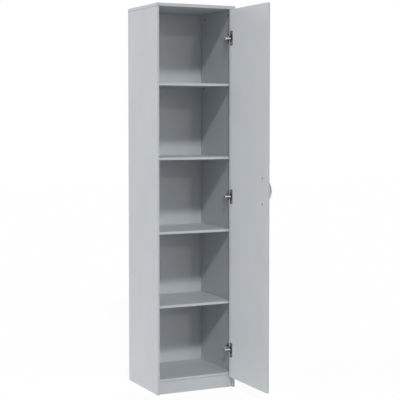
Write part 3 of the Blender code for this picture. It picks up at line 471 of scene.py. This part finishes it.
HEAD_RADIUS = 0.0034
HEAD_LENGTH = 0.0014
PLATE_FACE_INSET = 0.0023
PLATE_SCREW_BACK = 0.0395
PLATE_SCREW_RISE = 0.016
ARM_FACE_INSET = 0.0144
ARM_SCREW_BACKS = (0.031, 0.062)
FLANGE_PROUD = 0.0013
CUP_SCREW_Y = -0.03916
CUP_SCREW_RISE = 0.026
HINGE_EDGE_ROUNDING = 0.00016
NOSE_LIP_CORNER = 0.0020
HANDLE_SCREW_RADIUS = 0.00375
HANDLE_SCREW_HEAD = 0.0016
HANDLE_SCREW_SEAT = 0.0003
NAIL_ROWS = 12
NAIL_MARGIN = 0.02
NAIL_DRIFT = 0.003
NOSE_LIP_X = (0.1724, 0.1886)
NOSE_LIP_Y = (-0.0120, -0.0110)
NOSE_LIP_Z = (0.0055, 0.0086)
TOWARDS_LEFT = Matrix.Rotation(-math.pi / 2, 4, "Y")


def screw_head(radius, length, turn):
    """A pan head with a cross recess, standing on its seat."""
    profile = [(0, 0.00003), (radius, 0.00003), (radius + 0.00002, length * 0.35),
               (radius * 0.97, length * 0.56), (radius * 0.88, length * 0.77),
               (radius * 0.70, length * 0.92), (radius * 0.42, length), (0, length * 1.01)]
    head = turned(profile, 32, "screw_head", 60)
    deep = length * 0.72
    blades = []
    for angle in (turn, turn + 90):
        blade = box_mesh((radius * 1.16, radius * 0.22, deep * 2), (0, 0, length))
        blade.transform(Matrix.Rotation(math.radians(angle), 4, "Z"))
        blades.append(blade)
    pit = turned([(0, length - deep), (radius * 0.20, length - deep),
                  (radius * 0.32, length * 1.2), (0, length * 1.2)], 12, "pit")
    head = combined(head, [*blades, pit], "DIFFERENCE")
    return modified(head, [("BEVEL", {"width": radius * 0.018, "segments": 2,
                                      "limit_method": "ANGLE",
                                      "angle_limit": math.radians(50)})])


def add_heads(name, places, radius, length, body, slot, turns=(18, 62)):
    """Screw heads that face left; each place is the middle of a head's seat."""
    heads = []
    for place, turn in zip(places, turns):
        head = screw_head(radius, length, turn)
        head.transform(Matrix.Translation(place) @ TOWARDS_LEFT)
        heads.append(head)
    item = link(name, merged(heads, name), finishes[slot])
    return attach(item, body)


def nose_lips(height):
    """Lips folded outwards at the front of the arm's two cheeks."""
    left, right = NOSE_LIP_X
    inner, outer = NOSE_LIP_Z
    lips = []
    for sign in (-1, 1):
        outline = rounded([(left, height + sign * inner, 0), (right, height + sign * inner, 0),
                           (right, height + sign * outer), (left, height + sign * outer)],
                          NOSE_LIP_CORNER)
        lips.append(prism(outline, 1, *NOSE_LIP_Y))
    return lips


def without_heads(node, places, extras=(), radius=HEAD_RADIUS, length=HEAD_LENGTH):
    """The node's form with its plain screw heads taken off down to their seats."""
    cutters = []
    for place in places:
        tool = turned([(0, 0.00002), (radius + 0.00015, 0.00002),
                       (radius + 0.00015, length * 1.6), (0, length * 1.6)], 24, "tool")
        tool.transform(Matrix.Translation(place) @ TOWARDS_LEFT)
        cutters.append(tool)
    mesh = combined(welded(node), cutters, "DIFFERENCE")
    mesh = combined(mesh, extras, "UNION")
    return modified(mesh, [("BEVEL", {"width": HINGE_EDGE_ROUNDING, "segments": 2,
                                      "limit_method": "ANGLE",
                                      "angle_limit": math.radians(40)}),
                           ("WEIGHTED_NORMAL", {"weight": 100, "keep_sharp": True})])


def hinge_height(label):
    """The height of a hinge's middle."""
    low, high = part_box(f"{label}_hinge_arm")
    return (low.z + high.z) / 2


def build_hinge_details():
    """Smooth screw heads and softened edges on the three hinges; one is made and copied."""
    base = hinge_height("middle")
    parts = (("mounting_plate", "carcass", "hinge_steel",
              [(INNER_X - PLATE_FACE_INSET, CLOSED_DOOR_Y + PLATE_SCREW_BACK, z)
               for z in (-PLATE_SCREW_RISE, PLATE_SCREW_RISE)]),
             ("arm", "carcass", "bright_steel",
              [(INNER_X - ARM_FACE_INSET, CLOSED_DOOR_Y + y, 0.0) for y in ARM_SCREW_BACKS]),
             ("cup", "door", "hinge_steel",
              [(DOOR_FACE_X - FLANGE_PROUD, CUP_SCREW_Y, z)
               for z in (-CUP_SCREW_RISE, CUP_SCREW_RISE)]))
    for part, body, slot, places in parts:
        node = f"middle_hinge_{part}"
        at_base = [(x, y, z + base) for x, y, z in places]
        form = without_heads(node, at_base, nose_lips(base) if part == "arm" else ())
        for label in HINGES:
            rise = hinge_height(label) - base
            name = f"{label}_hinge_{part}"
            item = link(f"{name}_detailed",
                        moved(form, Matrix.Translation((0, 0, rise)), f"{name}_detailed"),
                        finishes[slot])
            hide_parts(name)
            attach(item, body)
            add_heads(f"{name}_screw_heads", [(x, y, z + rise) for x, y, z in at_base],
                      HEAD_RADIUS, HEAD_LENGTH, body, "screw_steel")


def build_handle_screws():
    """Dark pan-head screws through the door, each with its recess at another turn."""
    for row, centre, turn in (("lower", lower_screw, -7), ("upper", upper_screw, 55)):
        node = f"handle_screw_{row}"
        seat = (DOOR_FACE_X - HANDLE_SCREW_SEAT, centre.y, centre.z)
        head = screw_head(HANDLE_SCREW_RADIUS, HANDLE_SCREW_HEAD, turn)
        shank = turned([(0, -0.0160), (0.0012, -0.0160), (0.0018, -0.0148),
                        (0.0018, 0.0), (0, 0.0)], 20, "shank")
        mesh = merged([head, shank], f"{node}_detailed")
        mesh.transform(Matrix.Translation(seat) @ TOWARDS_LEFT)
        item = link(f"{node}_detailed", mesh, dark_screw)
        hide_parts(node)
        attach(item, "door")


def build_handle():
    """Bow handle: a rounded flat bar bent to an arc, widest in its middle and thickest at
    its feet. It is made facing -Y and then turned to face +X, as on the open door."""
    half, thick = HANDLE_SPACING / 2, HANDLE_THICKNESS / 2
    rise = HANDLE_PROJECTION - thick
    radius = (half * half + rise * rise) / (2 * rise)
    sink = radius - rise
    end = math.asin(half / radius) + 2 * thick / radius
    form = bmesh.new()
    rings = []
    for i in range(HANDLE_STEPS + 1):
        share = 2 * i / HANDLE_STEPS - 1
        angle = share * end
        wide = (HANDLE_FOOT_WIDTH + HANDLE_SWELL * (1 - share ** 2)) / 2
        deep = thick + HANDLE_FOOT_FLARE * share ** 6
        ring = []
        for k in range(HANDLE_CORNERS):
            t = 2 * math.pi * k / HANDLE_CORNERS
            c, s = math.cos(t), math.sin(t)
            across = wide * math.copysign(abs(c) ** 0.55, c)
            reach = radius + deep * math.copysign(abs(s) ** 0.70, s)
            ring.append(form.verts.new((across, sink - reach * math.cos(angle),
                                        reach * math.sin(angle))))
        rings.append(ring)
    for first, second in zip(rings, rings[1:]):
        for k in range(HANDLE_CORNERS):
            j = (k + 1) % HANDLE_CORNERS
            form.faces.new((first[k], first[j], second[j], second[k]))
    form.faces.new(rings[0])
    form.faces.new(rings[-1])
    everything = form.verts[:] + form.edges[:] + form.faces[:]
    trimmed = bmesh.ops.bisect_plane(form, geom=everything, plane_co=(0, 0, 0),
                                     plane_no=(0, 1, 0), clear_outer=True)["geom_cut"]
    rim = [item for item in trimmed if isinstance(item, bmesh.types.BMEdge)]
    bmesh.ops.holes_fill(form, edges=rim, sides=0)
    bar = to_mesh(form, "bar", 40)
    bosses = []
    for sign in (-1, 1):
        boss = turned([(0, 0.0001), (BOSS_RADIUS, 0.0001), (BOSS_RADIUS, BOSS_LENGTH),
                       (0, BOSS_LENGTH)], 32, "boss")
        boss.transform(Matrix.Translation((0, 0, sign * half))
                       @ Matrix.Rotation(math.pi / 2, 4, "X"))
        bosses.append(boss)
    mesh = combined(bar, bosses, "UNION")
    mesh.name = "handle_bow"
    mesh.transform(Matrix.Translation(HANDLE_PLACE) @ Matrix.Rotation(math.pi / 2, 4, "Z"))
    item = link("handle_bow", mesh, finishes["handle_satin"])
    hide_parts("handle")
    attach(item, "door")


def build_shelf_pins():
    """Round shelf pins with a soft collar, in place of the plain ones."""
    profile = [(0, -0.0075), (0.0016, -0.0075), (0.0022, -0.0069), (0.0022, 0.0003),
               (0.0034, 0.0003), (0.0036, 0.0006), (0.0036, 0.0068), (0.0033, 0.0077),
               (0.0026, 0.0083), (0.0015, 0.0085), (0, 0.0085)]
    pin = turned(profile, 28, "shelf_pin", 50)
    for name in nodes:
        if "_pin_" not in name or not name.startswith("shelf_"):
            continue
        low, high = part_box(name)
        sign = -1 if high.x < 0 else 1
        place = Vector((sign * INNER_X, (low.y + high.y) / 2, (low.z + high.z) / 2))
        turn = Matrix.Rotation(-sign * math.pi / 2, 4, "Y")
        item = link(f"{name}_round", moved(pin, Matrix.Translation(place) @ turn, name),
                    finishes["zinc"])
        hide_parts(name)
        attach(item, "carcass")


def build_nails():
    """Domed nail heads that hold the back panel to the rear edges of the boards."""
    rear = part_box("back_panel")[1].y
    rail = (INNER_X + OUTER_X) / 2
    lower, upper = (sum(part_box(board), Vector()).z / 2 for board in ("bottom_panel", "top_panel"))
    places = []
    for i in range(NAIL_ROWS):
        z = lower + NAIL_MARGIN + (upper - lower - 2 * NAIL_MARGIN) * i / (NAIL_ROWS - 1)
        places += [(-rail, z + NAIL_DRIFT * math.sin(5.0 * i)),
                   (rail, z + NAIL_DRIFT * math.cos(3.0 * i))]
    for x in (-0.13, 0.0, 0.13):
        places += [(x, lower), (x + 0.004, upper)]
    profile = [(0, -0.0012), (0.0007, -0.0012), (0.0016, -0.0001), (0.0017, 0.0002),
               (0.0013, 0.00045), (0.0006, 0.00055), (0, 0.0006)]
    nail = turned(profile, 20, "nail", 60)
    back = Matrix.Rotation(-math.pi / 2, 4, "X")
    heads = [moved(nail, Matrix.Translation((x, rear, z)) @ back, "nail") for x, z in places]
    item = link("back_panel_nail_heads", merged(heads, "back_panel_nail_heads"),
                finishes["screw_steel"])
    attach(item, "carcass")


build_hinge_details()
build_handle_screws()
build_handle()
build_shelf_pins()
build_nails()


# Floor, light and camera

FLOOR_GREY = 0.60
FLOOR_GLOW = 1.094
FLOOR_GLOW_SHARE = 0.84
FLOOR_DROP = 0.0002
WORLD_LEVEL = 0.276
CAMERA_PLACE = (-2.5064, -5.2765, 1.4184)
CAMERA_TILT = 0.0545
CAMERA_TURN = -0.4477
CAMERA_LENS = 101.87
CAMERA_SHIFT = -0.05

def floor_material():
    """Pale floor that shows white to the camera and still keeps a faint shadow."""
    made = bpy.data.materials.new("studio_floor")
    made.use_nodes = True
    tree = made.node_tree
    tree.nodes.remove(tree.nodes["Principled BSDF"])
    out = tree.nodes["Material Output"]
    matt = add(tree, "ShaderNodeBsdfDiffuse", Color=(FLOOR_GREY, FLOOR_GREY, FLOOR_GREY, 1.0))
    glow = add(tree, "ShaderNodeEmission", Color=(1.0, 1.0, 1.0, 1.0), Strength=FLOOR_GLOW)
    blend = add(tree, "ShaderNodeMixShader")
    share = add(tree, "ShaderNodeMath", operation="MULTIPLY")
    share.inputs[1].default_value = FLOOR_GLOW_SHARE
    tree.links.new(seen_by_eye(tree), share.inputs[0])
    tree.links.new(share.outputs[0], blend.inputs["Fac"])
    tree.links.new(matt.outputs[0], blend.inputs[1])
    tree.links.new(glow.outputs[0], blend.inputs[2])
    tree.links.new(blend.outputs[0], out.inputs["Surface"])
    return made


def seen_by_eye(tree):
    """1 for camera, glossy and transmission rays, and 0 for the rays that carry light."""
    path = add(tree, "ShaderNodeLightPath")
    first = add(tree, "ShaderNodeMath", operation="MAXIMUM")
    both = add(tree, "ShaderNodeMath", operation="MAXIMUM")
    tree.links.new(path.outputs["Is Camera Ray"], first.inputs[0])
    tree.links.new(path.outputs["Is Glossy Ray"], first.inputs[1])
    tree.links.new(first.outputs[0], both.inputs[0])
    tree.links.new(path.outputs["Is Transmission Ray"], both.inputs[1])
    return both.outputs[0]


def build_floor():
    """A wide floor just under the cabinet, reaching further behind it than in front."""
    form = bmesh.new()
    bmesh.ops.create_grid(form, x_segments=8, y_segments=8, size=14.0)
    mesh = bpy.data.meshes.new("floor")
    form.to_mesh(mesh)
    form.free()
    mesh.materials.append(floor_material())
    floor = bpy.data.objects.new("floor", mesh)
    floor.location = (0.0, 4.0, -FLOOR_DROP)
    bpy.context.scene.collection.objects.link(floor)


def build_world(level):
    """Even white surroundings that light the cabinet only softly."""
    world = bpy.data.worlds.new("studio")
    bpy.context.scene.world = world
    world.use_nodes = True
    tree = world.node_tree
    for node in list(tree.nodes):
        tree.nodes.remove(node)
    out = add(tree, "ShaderNodeOutputWorld")
    soft = add(tree, "ShaderNodeBackground", Color=(0.985, 0.995, 1.0, 1.0), Strength=level)
    white = add(tree, "ShaderNodeBackground", Color=(1.0, 1.0, 1.0, 1.0), Strength=1.0)
    blend = add(tree, "ShaderNodeMixShader")
    tree.links.new(seen_by_eye(tree), blend.inputs["Fac"])
    tree.links.new(soft.outputs[0], blend.inputs[1])
    tree.links.new(white.outputs[0], blend.inputs[2])
    tree.links.new(blend.outputs[0], out.inputs["Surface"])


def add_sun(name, azimuth, drop, spread, level):
    """A lamp far away. Azimuth is where it stands, 0 in front and 90 on the right; drop is
    how steeply it shines down; level is what it adds to a face square to it."""
    lamp = bpy.data.lights.new(name, "SUN")
    lamp.energy = level * math.pi
    lamp.angle = math.radians(spread)
    item = bpy.data.objects.new(name, lamp)
    a, e = math.radians(azimuth), math.radians(drop)
    towards = Vector((-math.sin(a) * math.cos(e), math.cos(a) * math.cos(e), -math.sin(e)))
    item.rotation_euler = towards.to_track_quat("-Z", "Y").to_euler()
    bpy.context.scene.collection.objects.link(item)


# name, azimuth, drop and spread in degrees, level
SUNS = (
    ("key", -19, 37.5, 5, 0.411),
    ("left_side", -89, 8, 11, 0.456),
    ("left_rear", -135, 10, 15, 0.037),
    ("right_rear", 150, 30, 20, 0.300),
    ("front_low", 3, 17, 3, 0.068),
    ("front_level", 10, 5, 15, 0.072),
)
build_floor()
build_world(WORLD_LEVEL)
for sun in SUNS:
    add_sun(*sun)

lens = bpy.data.cameras.new("camera")
lens.lens = CAMERA_LENS
lens.sensor_width = 36.0
lens.shift_y = CAMERA_SHIFT
lens.clip_start = 0.1
lens.clip_end = 100.0
camera = bpy.data.objects.new("camera", lens)
camera.location = CAMERA_PLACE
camera.rotation_euler = (math.pi / 2 - CAMERA_TILT, 0.0, CAMERA_TURN)
bpy.context.scene.collection.objects.link(camera)
bpy.context.scene.camera = camera
bpy.context.scene.view_settings.view_transform = "Standard"
